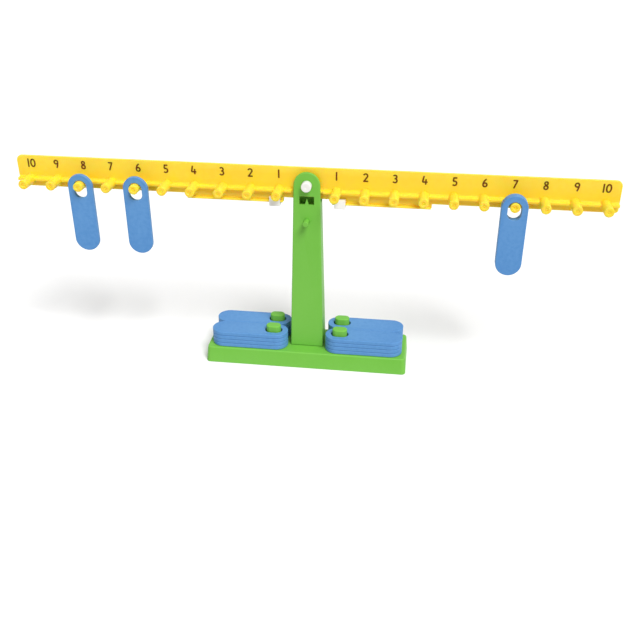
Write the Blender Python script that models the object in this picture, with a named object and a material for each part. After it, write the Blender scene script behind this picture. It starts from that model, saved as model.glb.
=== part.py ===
"""A pupil's number balance: a pegged beam on a post and base, with twenty hanging weights.

Lengths are metres. +Z is up, the numbered side faces -Y, and the origin is the middle of the base's underside.
"""

import math

import bmesh
import bpy
from mathutils import Matrix, Vector

# Fits that every piece shares
TOUCH_GAP = 0.0003            # left between pieces that touch
CUT_OVERRUN = 0.0020          # how far a cutting shape runs past what it cuts
RUNNING_CLEARANCE = 0.0003    # round the pivot pin, the rails and the sockets

# Base moulding
BASE_LENGTH = 0.2322
BASE_DEPTH = 0.0654
BASE_HEIGHT = 0.0185
BASE_END_DRAFT = 0.0013       # how far each end leans in from foot to deck
BASE_SIDE_DRAFT = 0.0028      # and the front and the back
BASE_CORNER_RADIUS = 0.0046
BASE_EDGE_ROUND = 0.0016
BASE_WALL = 0.0024
BASE_DECK = 0.0026
BASE_RIB = 0.0018
BASE_RIB_SETBACK = 0.0010
CELLS_EACH_SIDE = 3

# Post, made as a front and a back shell
POST_FOOT_HALF_WIDTH = 0.0188
POST_HEAD_RADIUS = 0.0144
POST_FOOT_HALF_DEPTH = 0.0130
POST_HEAD_HALF_DEPTH = 0.0080
POST_WALL = 0.0022
POST_EDGE_ROUND = 0.0012
POST_FLOOR = 0.0025
SLOT_FLOOR_BELOW_PIVOT = 0.0196
WEB_BELOW_SLOT = 0.0043
WEB_THICKNESS = 0.0020
WINDOW_WIDTH = 0.0160
WINDOW_HEIGHT = 0.0094
WINDOW_TOP_BELOW_PIVOT = 0.0118
INDEX_WIDTH = 0.0042
INDEX_HEIGHT = 0.0067
REST_PEG_RADIUS = 0.0030
REST_PEG_REACH = 0.0110
REST_PEG_BELOW_PIVOT = 0.0395
REST_PEG_ROUND = 0.0006
SNAP_PIN_RADIUS = 0.0025
SNAP_PIN_REACH = 0.0050
SNAP_BOSS_RADIUS = 0.0046
SNAP_BELOW_PIVOT_SHARES = (0.28, 0.78)   # of the height from base deck to pivot

# Tenon of the post and its socket in the base
TENON_HALF_WIDTH = 0.0140
TENON_HALF_DEPTH = 0.0070
TENON_WALL = 0.0020
SOCKET_WALL = 0.0022
SOCKET_FLOOR = 0.0024

# Pivot
PIVOT_HEIGHT = 0.2120
PIVOT_PIN_RADIUS = 0.0055
PIVOT_PIN_REACH = 0.0066
PIVOT_PIN_ROUND = 0.0011
PIVOT_HEAD_RADIUS = 0.0076
PIVOT_HEAD_THICKNESS = 0.0022

# Beam
PEGS_PER_ARM = 10
PEG_PITCH = 0.0310
BEAM_END_MARGIN = 0.0140
BEAM_ABOVE_PIVOT = 0.0180
BEAM_BELOW_PIVOT = 0.0164
BEAM_THICKNESS = 0.0030
BEAM_TOP_CORNER = 0.0060
BEAM_LOW_CORNER = 0.0030
HUB_RADIUS = 0.0090
POINTER_WIDTH = 0.0042
POINTER_DROP = 0.0018
LEDGE_TOP_BELOW_PIVOT = 0.0060
LEDGE_HEIGHT = 0.0030
LEDGE_REACH = 0.0060
LEDGE_FILLET = 0.0018
LEDGE_EDGE = 0.0005
LEDGE_END_INSET = 0.0005
LEDGE_POST_CLEARANCE = 0.0028
PEG_BELOW_PIVOT = 0.0080
PEG_REACH = 0.0233
PEG_ROOT_RADIUS = 0.0054
PEG_TIP_RADIUS = 0.0052
PEG_TIP_ROUND = 0.0009
RAIL_DROP = 0.0050
RAIL_FIRST_MARGIN = 0.0050    # from the first peg's centre towards the post
RAIL_LAST_MARGIN = 0.0090     # from the last railed peg's centre towards the beam's end
RAILED_PEGS = 4
LIP_HEIGHT = 0.0020
LIP_REACH = 0.0030
LIP_STEP = 0.0006

# Zero sliders
SLIDER_WIDTH = 0.0118
SLIDER_WALL = 0.0020
SLIDER_FOOT = 0.0035
SLIDER_ARM = 0.0040
SLIDER_ROUND = 0.0007
SLIDER_FROM_FIRST_PEG = 0.0044

# Weights and their places
WEIGHT_LENGTH = 0.0885
WEIGHT_WIDTH = 0.0273
WEIGHT_THICKNESS = 0.0045
WEIGHT_EDGE = 0.0008
WEIGHT_SLOT_WIDTH = 0.0143
WEIGHT_SLOT_LENGTH = 0.0200
HANG_FROM_LEDGE = 0.0061      # air between the ledge's edge and the first weight on a peg
STACK_LAYERS = 4
STORAGE_PEG_CLEARANCE = 0.0015
STORAGE_PEG_SHOW = 0.0069     # how far a storage peg stands out of a full stack
STORAGE_PEG_ROUND = 0.0014
SPIGOT_INSET = 0.0028
SPIGOT_BOSS_WALL = 0.0020
STACK_FROM_POST = 0.0032      # between the post's foot and a stack's inner end

HANGING = (                   # node, peg number (left is negative), place on the peg
    ("weight_left_8", -8, 0),
    ("weight_left_6", -6, 0),
    ("weight_right_7_rear", 7, 0),
    ("weight_right_7_front", 7, 1),
)

# Facet counts
ARC_STEPS = 12
END_STEPS = 8
PEG_SIDES = 16
HUB_SIDES = 24
EDGE_STEPS = 2

# Sizes that follow from those above
FACE_Y = BEAM_THICKNESS / 2
BEAM_HALF_LENGTH = PEGS_PER_ARM * PEG_PITCH + BEAM_END_MARGIN
BEAM_BOTTOM = PIVOT_HEIGHT - BEAM_BELOW_PIVOT
PEG_HEIGHT = PIVOT_HEIGHT - PEG_BELOW_PIVOT
LEDGE_TOP = PIVOT_HEIGHT - LEDGE_TOP_BELOW_PIVOT
LEDGE_BOTTOM = LEDGE_TOP - LEDGE_HEIGHT
RAIL_BOTTOM = BEAM_BOTTOM - RAIL_DROP
RAIL_START = PEG_PITCH - RAIL_FIRST_MARGIN
RAIL_END = RAILED_PEGS * PEG_PITCH + RAIL_LAST_MARGIN
POST_FOOT = BASE_HEIGHT + TOUCH_GAP
SLOT_FLOOR = PIVOT_HEIGHT - SLOT_FLOOR_BELOW_PIVOT
WEIGHT_END_RADIUS = WEIGHT_WIDTH / 2
WEIGHT_SLOT_RADIUS = WEIGHT_SLOT_WIDTH / 2
WEIGHT_SLOT_STRAIGHT = WEIGHT_SLOT_LENGTH - WEIGHT_SLOT_WIDTH
LAYER_PITCH = WEIGHT_THICKNESS + TOUCH_GAP
STACK_ROW_Y = (WEIGHT_WIDTH + TOUCH_GAP) / 2
STACK_INNER_END = POST_FOOT_HALF_WIDTH + STACK_FROM_POST
STORAGE_PEG_X = STACK_INNER_END + WEIGHT_END_RADIUS + WEIGHT_SLOT_STRAIGHT / 2
STORAGE_PEG_TOP = BASE_HEIGHT + STACK_LAYERS * LAYER_PITCH + STORAGE_PEG_SHOW

GREEN = (0.180, 0.520, 0.085)
YELLOW = (0.960, 0.640, 0.045)
BLUE = (0.110, 0.290, 0.610)
WHITE = (0.860, 0.850, 0.800)


def clear_scene():
    for old in list(bpy.data.objects):
        bpy.data.objects.remove(old, do_unlink=True)


def plastic(name, colour, roughness):
    """A moulded plastic: one colour, no metal, a soft gloss."""
    material = bpy.data.materials.new(name)
    material.use_nodes = True
    shader = material.node_tree.nodes["Principled BSDF"]
    shader.inputs["Base Color"].default_value = (*colour, 1.0)
    shader.inputs["Roughness"].default_value = roughness
    shader.inputs["Metallic"].default_value = 0.0
    return material


def new_object(name, shape, material=None):
    """Turn a bmesh into a named object of the scene."""
    bmesh.ops.recalc_face_normals(shape, faces=shape.faces)
    mesh = bpy.data.meshes.new(name)
    shape.to_mesh(mesh)
    shape.free()
    thing = bpy.data.objects.new(name, mesh)
    bpy.context.scene.collection.objects.link(thing)
    if material is not None:
        mesh.materials.append(material)
    return thing


def shade(thing):
    """Smooth shading on the rounds, sharp edges where faces meet steeply."""
    thing.data.shade_smooth()
    thing.data.set_sharp_from_angle(angle=math.radians(32))


def combine(target, tools, operation):
    """Add the tools to the target, or cut them out of it, and keep only the result."""
    for other in tools:
        step = target.modifiers.new(operation.lower(), "BOOLEAN")
        step.operation = operation
        step.object = other
    depsgraph = bpy.context.evaluated_depsgraph_get()
    result = bpy.data.meshes.new_from_object(target.evaluated_get(depsgraph))
    target.modifiers.clear()
    target.data = result
    for other in tools:
        bpy.data.objects.remove(other, do_unlink=True)


def join_to(target, *tools):
    combine(target, tools, "UNION")


def cut_from(target, *tools):
    combine(target, tools, "DIFFERENCE")


def arc(centre_a, centre_b, radius, start, end, steps):
    """Points of a circular arc; the angles are in quarter turns."""
    points = []
    for step in range(steps + 1):
        angle = math.pi / 2 * (start + (end - start) * step / steps)
        points.append((centre_a + radius * math.cos(angle), centre_b + radius * math.sin(angle)))
    return points


def stadium(straight, radius, near=0.0, steps=END_STEPS):
    """A slot-shaped outline whose near arc has its centre at `near` along the first axis."""
    return arc(near + straight, 0.0, radius, -1, 1, steps) + arc(near, 0.0, radius, 1, 3, steps)


def rounded_rectangle(half_a, half_b, radius, steps):
    outline = []
    for quarter, (sign_a, sign_b) in enumerate(((1, 1), (-1, 1), (-1, -1), (1, -1))):
        centre = (sign_a * (half_a - radius), sign_b * (half_b - radius))
        outline += arc(*centre, radius, quarter, quarter + 1, steps)
    return outline


def rectangle(low_a, high_a, low_b, high_b):
    return [(low_a, low_b), (high_a, low_b), (high_a, high_b), (low_a, high_b)]


def along(axis, a, b, depth):
    """A point of an outline, put in the plane that faces the given axis."""
    if axis == "X":
        return Vector((depth, a, b))
    if axis == "Y":
        return Vector((a, depth, b))
    return Vector((a, b, depth))


def prism(outline, axis, low, high):
    """Extrude a closed outline along an axis, from one level to another."""
    shape = bmesh.new()
    corners = [shape.verts.new(along(axis, a, b, low)) for a, b in outline]
    cap = shape.faces.new(corners)
    grown = bmesh.ops.extrude_face_region(shape, geom=[cap])["geom"]
    moved = [item for item in grown if isinstance(item, bmesh.types.BMVert)]
    bmesh.ops.translate(shape, verts=moved, vec=along(axis, 0.0, 0.0, high - low))
    bmesh.ops.recalc_face_normals(shape, faces=shape.faces)
    return shape


def round_edges(shape, chosen, radius, steps=EDGE_STEPS):
    """Round the edges for which `chosen` says yes of both ends."""
    edges = [edge for edge in shape.edges if all(chosen(vert.co) for vert in edge.verts)]
    bmesh.ops.bevel(shape, geom=edges, offset=radius, offset_type="OFFSET", segments=steps,
                    profile=0.5, affect="EDGES", material=-1)


def turned(profile, sides):
    """Spin a profile of (radius, place) pairs round the Y axis into a closed solid."""
    shape = bmesh.new()
    verts = [shape.verts.new((radius, place, 0.0)) for radius, place in profile]
    edges = [shape.edges.new(pair) for pair in zip(verts, verts[1:])]
    bmesh.ops.spin(shape, geom=verts + edges, cent=(0, 0, 0), axis=(0, 1, 0), dvec=(0, 0, 0),
                   angle=2 * math.pi, steps=sides, use_merge=True, use_duplicate=False)
    merge = min(radius for radius, _ in profile if radius) / sides / sides
    bmesh.ops.remove_doubles(shape, verts=shape.verts, dist=merge)
    bmesh.ops.recalc_face_normals(shape, faces=shape.faces)
    return shape


def skin(shape, first, second):
    """Join two closed rings of as many points each with a band of faces."""
    for a, b, c, d in zip(first, first[1:] + first[:1], second[1:] + second[:1], second):
        shape.faces.new((a, b, c, d))


def moved_to(shape, x, y, z):
    bmesh.ops.translate(shape, verts=shape.verts, vec=(x, y, z))
    return shape


def tool(shape):
    return new_object("tool", shape)


def bar(low_x, high_x, low_y, high_y, low_z, high_z):
    return tool(prism(rectangle(low_x, high_x, low_y, high_y), "Z", low_z, high_z))


def round_bar(radius, sides, x, z, low_y, high_y):
    """A plain round bar along Y, as a cutter or a boss."""
    outline = arc(x, z, radius, 0, 4, sides)[:-1]
    return tool(prism(outline, "Y", low_y, high_y))


# Base

def lean_in(shape):
    """Draw the walls of an upright solid in towards the deck, as the draft of the mould asks."""
    for vert in shape.verts:
        share = vert.co.z / BASE_HEIGHT
        vert.co.x -= math.copysign(BASE_END_DRAFT * share, vert.co.x)
        vert.co.y -= math.copysign(BASE_SIDE_DRAFT * share, vert.co.y)
    return shape


def rib_outline(half_size, draft):
    """A rib seen from its flat side, with its ends in the middle of two leaning walls."""
    low, top = BASE_RIB_SETBACK, BASE_HEIGHT - BASE_DECK / 2
    wide, narrow = [half_size - BASE_WALL / 2 - draft * z / BASE_HEIGHT for z in (low, top)]
    return [(-wide, low), (wide, low), (narrow, top), (-narrow, top)]


def base_ribs():
    """The ribs that stiffen the deck from below: one along it, the others across it."""
    across = rib_outline(BASE_DEPTH / 2, BASE_SIDE_DRAFT)
    socket = TENON_HALF_WIDTH + RUNNING_CLEARANCE + SOCKET_WALL
    cell = ((BASE_LENGTH - BASE_WALL) / 2 - socket) / CELLS_EACH_SIDE
    ribs = [tool(prism(rib_outline(BASE_LENGTH / 2, BASE_END_DRAFT), "Y", -BASE_RIB / 2, BASE_RIB / 2))]
    for side in (-1, 1):
        places = [socket - BASE_RIB / 2] + [socket + number * cell for number in range(1, CELLS_EACH_SIDE)]
        for x in places:
            ribs.append(tool(prism(across, "X", side * x - BASE_RIB / 2, side * x + BASE_RIB / 2)))
    return ribs


def spigot_outline(extra):
    """The storage peg's foot, or with some extra its hole or the boss round the hole."""
    radius = WEIGHT_SLOT_RADIUS - STORAGE_PEG_CLEARANCE - SPIGOT_INSET + extra
    return stadium(WEIGHT_SLOT_STRAIGHT, radius, -WEIGHT_SLOT_STRAIGHT / 2)


def storage_places():
    """Name and centre of each storage peg, and which way its stack points."""
    for side, side_name in ((-1, "left"), (1, "right")):
        for row, row_name in ((-1, "front"), (1, "back")):
            yield f"{row_name}_{side_name}", side * STORAGE_PEG_X, row * STACK_ROW_Y, side


def make_base(material):
    outline = rounded_rectangle(BASE_LENGTH / 2, BASE_DEPTH / 2, BASE_CORNER_RADIUS, ARC_STEPS // 2)
    slab = lean_in(prism(outline, "Z", 0.0, BASE_HEIGHT))
    round_edges(slab, lambda co: co.z > BASE_HEIGHT / 2, BASE_EDGE_ROUND)
    base = new_object("base", slab, material)
    inner = rounded_rectangle(BASE_LENGTH / 2 - BASE_WALL, BASE_DEPTH / 2 - BASE_WALL,
                              BASE_CORNER_RADIUS - BASE_WALL, ARC_STEPS // 2)
    cut_from(base, tool(lean_in(prism(inner, "Z", -CUT_OVERRUN, BASE_HEIGHT - BASE_DECK))))
    inside = BASE_HEIGHT - BASE_DECK / 2
    socket_x = TENON_HALF_WIDTH + RUNNING_CLEARANCE
    socket_y = TENON_HALF_DEPTH + RUNNING_CLEARANCE
    box = bar(-socket_x - SOCKET_WALL, socket_x + SOCKET_WALL, -socket_y - SOCKET_WALL, socket_y + SOCKET_WALL,
              BASE_RIB_SETBACK, inside)
    bosses = [tool(moved_to(prism(spigot_outline(RUNNING_CLEARANCE + SPIGOT_BOSS_WALL), "Z",
                                  BASE_RIB_SETBACK, inside), x, y, 0.0))
              for _, x, y, _ in storage_places()]
    join_to(base, *base_ribs(), box, *bosses)
    holes = [tool(moved_to(prism(spigot_outline(RUNNING_CLEARANCE), "Z",
                                 -CUT_OVERRUN, BASE_HEIGHT + CUT_OVERRUN), x, y, 0.0))
             for _, x, y, _ in storage_places()]
    socket = bar(-socket_x, socket_x, -socket_y, socket_y, SOCKET_FLOOR, BASE_HEIGHT + CUT_OVERRUN)
    cut_from(base, socket, *holes)
    shade(base)
    return base


def make_storage_peg(name, x, y, material):
    """A slot-shaped post that keeps one stack in place, with a foot pressed into the base."""
    radius = WEIGHT_SLOT_RADIUS - STORAGE_PEG_CLEARANCE
    body = prism(stadium(WEIGHT_SLOT_STRAIGHT, radius, -WEIGHT_SLOT_STRAIGHT / 2), "Z",
                 BASE_HEIGHT + TOUCH_GAP, STORAGE_PEG_TOP)
    middle = (BASE_HEIGHT + STORAGE_PEG_TOP) / 2
    round_edges(body, lambda co: co.z > middle, STORAGE_PEG_ROUND)
    peg = new_object("storage_peg_" + name, body, material)
    foot = prism(spigot_outline(0.0), "Z", BASE_RIB_SETBACK, BASE_HEIGHT + STORAGE_PEG_ROUND)
    join_to(peg, tool(foot))
    peg.location = (x, y, 0.0)
    shade(peg)
    return peg


# Post

def half_width(z):
    share = (z - POST_FOOT) / (PIVOT_HEIGHT - POST_FOOT)
    return POST_FOOT_HALF_WIDTH + (POST_HEAD_RADIUS - POST_FOOT_HALF_WIDTH) * share


def half_depth(z):
    share = (z - POST_FOOT) / (PIVOT_HEIGHT - POST_FOOT)
    return POST_FOOT_HALF_DEPTH + (POST_HEAD_HALF_DEPTH - POST_FOOT_HALF_DEPTH) * share


def between_half_shells(outline, side, start, inset):
    """A solid from near the parting plane out to the sloping face, less an inset."""
    shape = prism(outline, "Y", side * start, side * POST_FOOT_HALF_DEPTH * 2)
    for vert in shape.verts:
        if abs(vert.co.y) > POST_FOOT_HALF_DEPTH:
            vert.co.y = side * (half_depth(vert.co.z) - inset)
    bmesh.ops.recalc_face_normals(shape, faces=shape.faces)
    return shape


def post_outline():
    """The tapered post with its round head, seen from the front."""
    head = arc(0.0, PIVOT_HEIGHT, POST_HEAD_RADIUS, 0, 2, ARC_STEPS * 2)
    return [(-POST_FOOT_HALF_WIDTH, POST_FOOT), (POST_FOOT_HALF_WIDTH, POST_FOOT)] + head


def lower_cavity_outline():
    low = POST_FOOT + POST_FLOOR
    high = SLOT_FLOOR - WEB_BELOW_SLOT - WEB_THICKNESS
    wide, narrow = half_width(low) - POST_WALL, half_width(high) - POST_WALL
    return [(-wide, low), (wide, low), (narrow, high), (-narrow, high)]


def head_slot_outline():
    """The open slot that the beam lies in, with the chamber behind the window below it."""
    low = SLOT_FLOOR - WEB_BELOW_SLOT
    top = PIVOT_HEIGHT + POST_HEAD_RADIUS + CUT_OVERRUN
    chamber_low, chamber_high = half_width(low) - POST_WALL, half_width(SLOT_FLOOR) - POST_WALL
    wide = POST_FOOT_HALF_WIDTH + CUT_OVERRUN
    return [(-chamber_low, low), (chamber_low, low), (chamber_high, SLOT_FLOOR), (wide, SLOT_FLOOR),
            (wide, top), (-wide, top), (-wide, SLOT_FLOOR), (-chamber_high, SLOT_FLOOR)]


def window_outline():
    """The window, less the index that points up from its sill."""
    top = PIVOT_HEIGHT - WINDOW_TOP_BELOW_PIVOT
    sill = top - WINDOW_HEIGHT
    side, index = WINDOW_WIDTH / 2, INDEX_WIDTH / 2
    return [(-side, sill), (-index, sill), (0.0, sill + INDEX_HEIGHT), (index, sill), (side, sill),
            (side, top), (-side, top)]


def snap_heights():
    return [PIVOT_HEIGHT - share * (PIVOT_HEIGHT - BASE_HEIGHT) for share in SNAP_BELOW_PIVOT_SHARES]


def make_post_shell(name, side, material):
    """One half of the post: a tray with one cheek of the slotted head. Side is -1 in front, 1 behind."""
    parting = TOUCH_GAP / 2
    body = between_half_shells(post_outline(), side, parting, 0.0)
    round_edges(body, lambda co: abs(co.y) > POST_HEAD_HALF_DEPTH / 2, POST_EDGE_ROUND)
    shell = new_object(name, body, material)
    lower = tool(between_half_shells(lower_cavity_outline(), side, -CUT_OVERRUN, POST_WALL))
    head = tool(between_half_shells(head_slot_outline(), side, -CUT_OVERRUN, POST_WALL))
    reach = POST_FOOT_HALF_DEPTH + CUT_OVERRUN
    bore = round_bar(PIVOT_PIN_RADIUS + RUNNING_CLEARANCE, HUB_SIDES, 0.0, PIVOT_HEIGHT, 0.0, side * reach)
    cut_from(shell, lower, head, bore)
    add_tenon(shell, side)
    shade(shell)
    return shell


def add_tenon(shell, side):
    """The half tenon that goes down into the base, cored from below."""
    parting, bottom = TOUCH_GAP / 2, SOCKET_FLOOR + TOUCH_GAP
    y = sorted((side * parting, side * TENON_HALF_DEPTH))
    join_to(shell, bar(-TENON_HALF_WIDTH, TENON_HALF_WIDTH, *y, bottom, POST_FOOT + POST_FLOOR / 2))
    core = sorted((side * (parting + TENON_WALL), side * (TENON_HALF_DEPTH - TENON_WALL)))
    half = TENON_HALF_WIDTH - TENON_WALL
    cut_from(shell, bar(-half, half, *core, bottom - CUT_OVERRUN, BASE_HEIGHT - TENON_WALL))


def add_front_details(shell):
    """Window and index, the small rest peg, and the two pins that snap into the back shell."""
    reach = POST_FOOT_HALF_DEPTH + CUT_OVERRUN
    cut_from(shell, tool(prism(window_outline(), "Y", -reach, 0.0)))
    z = PIVOT_HEIGHT - REST_PEG_BELOW_PIVOT
    face = -half_depth(z)
    tip = face - REST_PEG_REACH
    profile = [(0.0, tip)]
    profile += arc(REST_PEG_RADIUS - REST_PEG_ROUND, tip + REST_PEG_ROUND, REST_PEG_ROUND, -1, 0, EDGE_STEPS)
    profile += [(REST_PEG_RADIUS, face + POST_WALL / 2), (0.0, face + POST_WALL / 2)]
    parts = [tool(moved_to(turned(profile, PEG_SIDES), 0.0, 0.0, z))]
    for height in snap_heights():
        wall = -half_depth(height) + POST_WALL / 2
        parts.append(round_bar(SNAP_BOSS_RADIUS, PEG_SIDES, 0.0, height, wall, -TOUCH_GAP / 2))
        parts.append(round_bar(SNAP_PIN_RADIUS, PEG_SIDES, 0.0, height, wall, SNAP_PIN_REACH))
    join_to(shell, *parts)
    shade(shell)


def add_back_details(shell):
    """The two tubes that take the front shell's pins."""
    tubes, bores = [], []
    for height in snap_heights():
        wall = half_depth(height) - POST_WALL / 2
        tubes.append(round_bar(SNAP_BOSS_RADIUS, PEG_SIDES, 0.0, height, TOUCH_GAP / 2, wall))
        bores.append(round_bar(SNAP_PIN_RADIUS + RUNNING_CLEARANCE, PEG_SIDES, 0.0, height, -CUT_OVERRUN,
                               SNAP_PIN_REACH + TOUCH_GAP))
    join_to(shell, *tubes)
    cut_from(shell, *bores)
    shade(shell)


def make_pivot_pin(material):
    """A smooth pin with a round tip in front and a flat head behind the post."""
    front = half_depth(PIVOT_HEIGHT) + PIVOT_PIN_REACH
    seat = half_depth(PIVOT_HEIGHT - PIVOT_HEAD_RADIUS) + TOUCH_GAP
    back = seat + PIVOT_HEAD_THICKNESS
    edge = PIVOT_PIN_ROUND
    profile = [(0.0, -front)] + arc(PIVOT_PIN_RADIUS - edge, edge - front, edge, -1, 0, EDGE_STEPS)
    profile += [(PIVOT_PIN_RADIUS, seat), (PIVOT_HEAD_RADIUS, seat)]
    profile += arc(PIVOT_HEAD_RADIUS - edge, back - edge, edge, 0, 1, EDGE_STEPS) + [(0.0, back)]
    pin = new_object("pivot_pin", turned(profile, HUB_SIDES), material)
    pin.location = (0.0, 0.0, PIVOT_HEIGHT)
    shade(pin)
    return pin


# Beam. It is modelled round the pivot, so heights in these functions are measured from the pin's axis.

def beam_outline():
    """The plate seen from the front: round ends, two rails below it, and a pointer in the middle."""
    end, top, low, rail = BEAM_HALF_LENGTH, BEAM_ABOVE_PIVOT, -BEAM_BELOW_PIVOT, RAIL_BOTTOM - PIVOT_HEIGHT
    step = rail + LIP_STEP
    right = [(0.0, low - POINTER_DROP), (POINTER_WIDTH / 2, low), (RAIL_START, low), (RAIL_START, step),
             (RAIL_END, step), (RAIL_END, low)]
    right += arc(end - BEAM_LOW_CORNER, low + BEAM_LOW_CORNER, BEAM_LOW_CORNER, -1, 0, ARC_STEPS // 3)
    right += arc(end - BEAM_TOP_CORNER, top - BEAM_TOP_CORNER, BEAM_TOP_CORNER, 0, 1, ARC_STEPS // 2)
    return right + [(-x, z) for x, z in reversed(right[1:])]


def ledge_outline(side):
    """Cross-section of the ledge: a fillet where it meets the plate, a rounded outer edge."""
    face, edge = FACE_Y, FACE_Y + LEDGE_REACH
    top, low = LEDGE_TOP - PIVOT_HEIGHT, LEDGE_BOTTOM - PIVOT_HEIGHT
    fillet = [(face + LEDGE_FILLET - a, top + LEDGE_FILLET - b)
              for a, b in arc(0.0, 0.0, LEDGE_FILLET, 0, 1, ARC_STEPS // 4)]
    points = [(0.0, low), (edge - LEDGE_EDGE, low), (edge, low + LEDGE_EDGE), (edge, top - LEDGE_EDGE),
              (edge - LEDGE_EDGE, top)] + fillet[::-1] + [(0.0, top + LEDGE_FILLET)]
    return [(side * y, z) for y, z in points]


def beam_ledges():
    """Ledges in front of and behind the plate, left and right of the post's head."""
    start = POST_HEAD_RADIUS + LEDGE_POST_CLEARANCE
    end = BEAM_HALF_LENGTH - LEDGE_END_INSET
    for side in (-1, 1):
        for face in (-1, 1):
            yield tool(prism(ledge_outline(face), "X", side * start, side * end))


def beam_lips():
    """The lips along the feet of both rails, which the zero sliders grip."""
    half = FACE_Y + LIP_REACH
    low = RAIL_BOTTOM - PIVOT_HEIGHT
    for side in (-1, 1):
        x = sorted((side * (RAIL_START + LIP_STEP), side * (RAIL_END - LIP_STEP)))
        yield bar(*x, -half, half, low, low + LIP_HEIGHT)


def peg_shape():
    """A peg with a little draft and a rounded tip. It starts inside the plate."""
    tip = -FACE_Y - PEG_REACH
    profile = [(0.0, tip)]
    profile += arc(PEG_TIP_RADIUS - PEG_TIP_ROUND, tip + PEG_TIP_ROUND, PEG_TIP_ROUND, -1, 0, EDGE_STEPS)
    profile += [(PEG_ROOT_RADIUS, -FACE_Y / 2), (0.0, -FACE_Y / 2)]
    return turned(profile, PEG_SIDES)


def peg_numbers():
    return [number for number in range(-PEGS_PER_ARM, PEGS_PER_ARM + 1) if number]


def hub_half_length():
    """Half the hub's length: it just clears the cheeks where they are closest."""
    return half_depth(PIVOT_HEIGHT + HUB_RADIUS) - POST_WALL - TOUCH_GAP


def make_beam(material):
    plate = prism(beam_outline(), "Y", -FACE_Y, FACE_Y)
    beam = new_object("beam", plate, material)
    half = hub_half_length()
    hub = round_bar(HUB_RADIUS, HUB_SIDES, 0.0, 0.0, -half, half)
    pegs = [tool(moved_to(peg_shape(), number * PEG_PITCH, 0.0, -PEG_BELOW_PIVOT)) for number in peg_numbers()]
    join_to(beam, *beam_ledges(), *beam_lips(), hub, *pegs)
    reach = half + CUT_OVERRUN
    cut_from(beam, round_bar(PIVOT_PIN_RADIUS + RUNNING_CLEARANCE, HUB_SIDES, 0.0, 0.0, -reach, reach))
    beam.location = (0.0, 0.0, PIVOT_HEIGHT)
    shade(beam)
    return beam


# Zero sliders

def slider_outline():
    """A C-shaped clip round the lip, open upwards for the rail."""
    lip = FACE_Y + LIP_REACH + RUNNING_CLEARANCE
    outer = lip + SLIDER_WALL
    neck = FACE_Y + RUNNING_CLEARANCE
    foot = -RUNNING_CLEARANCE
    shoulder = LIP_HEIGHT + RUNNING_CLEARANCE
    top = shoulder + SLIDER_ARM
    right = [(outer, foot - SLIDER_FOOT), (outer, top), (neck, top), (neck, shoulder), (lip, shoulder), (lip, foot)]
    return right + [(-y, z) for y, z in reversed(right)]


def make_slider(name, side, material):
    shape = prism(slider_outline(), "X", -SLIDER_WIDTH / 2, SLIDER_WIDTH / 2)
    outer = FACE_Y + LIP_REACH + RUNNING_CLEARANCE + SLIDER_WALL / 2
    round_edges(shape, lambda co: abs(co.y) > outer, SLIDER_ROUND)
    slider = new_object(name, shape, material)
    slider.location = (side * (PEG_PITCH + SLIDER_FROM_FIRST_PEG), 0.0, RAIL_BOTTOM)
    shade(slider)
    return slider


# Weights

def hang_offset():
    """From the peg's axis down to the centre of the slot's upper arc."""
    return WEIGHT_SLOT_RADIUS - PEG_ROOT_RADIUS - TOUCH_GAP


def weight_mesh(material):
    """A flat plate with round ends and a slot near one of them.

    It lies in the XY plane with its tail along +X, and its origin is on the axis of the peg that it hangs from.
    """
    near = hang_offset()
    straight = WEIGHT_LENGTH - WEIGHT_WIDTH
    half, edge = WEIGHT_THICKNESS / 2, WEIGHT_EDGE
    rings = [(straight, WEIGHT_END_RADIUS - edge, -half), (straight, WEIGHT_END_RADIUS, edge - half),
             (straight, WEIGHT_END_RADIUS, half - edge), (straight, WEIGHT_END_RADIUS - edge, half)]
    slot = WEIGHT_SLOT_STRAIGHT
    rings += [(slot, WEIGHT_SLOT_RADIUS + edge / 2, half), (slot, WEIGHT_SLOT_RADIUS, half - edge / 2),
              (slot, WEIGHT_SLOT_RADIUS, edge / 2 - half), (slot, WEIGHT_SLOT_RADIUS + edge / 2, -half)]
    shape = bmesh.new()
    loops = [[shape.verts.new((x, y, height)) for x, y in stadium(length, radius, near)]
             for length, radius, height in rings]
    for first, second in zip(loops, loops[1:] + loops[:1]):
        skin(shape, first, second)
    weight = new_object("weight", shape, material)
    shade(weight)
    mesh = weight.data
    bpy.data.objects.remove(weight, do_unlink=True)
    return mesh


def place_weight(name, mesh, place, tail, face):
    """Put one weight in the scene: where its origin is, and which ways its tail and its face point."""
    weight = bpy.data.objects.new(name, mesh)
    bpy.context.scene.collection.objects.link(weight)
    turn = Matrix((tail, face.cross(tail), face)).transposed()
    weight.matrix_world = Matrix.Translation(place) @ turn.to_4x4()
    return weight


def hang_weights(mesh):
    """Weights on the pegs, one behind the other where a peg holds two."""
    first = -FACE_Y - LEDGE_REACH - HANG_FROM_LEDGE - WEIGHT_THICKNESS / 2
    for name, peg, place in HANGING:
        spot = Vector((peg * PEG_PITCH, first - place * LAYER_PITCH, PEG_HEIGHT))
        place_weight(name, mesh, spot, Vector((0, 0, -1)), Vector((0, -1, 0)))


def stack_weights(mesh):
    """The stored weights, in stacks that point away from the post."""
    to_slot_middle = hang_offset() + WEIGHT_SLOT_STRAIGHT / 2
    for stack, x, y, side in storage_places():
        for layer in range(STACK_LAYERS):
            z = BASE_HEIGHT + TOUCH_GAP + WEIGHT_THICKNESS / 2 + layer * LAYER_PITCH
            spot = Vector((x - side * to_slot_middle, y, z))
            place_weight(f"stored_{stack}_{layer + 1}", mesh, spot, Vector((side, 0, 0)), Vector((0, 0, 1)))


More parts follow.
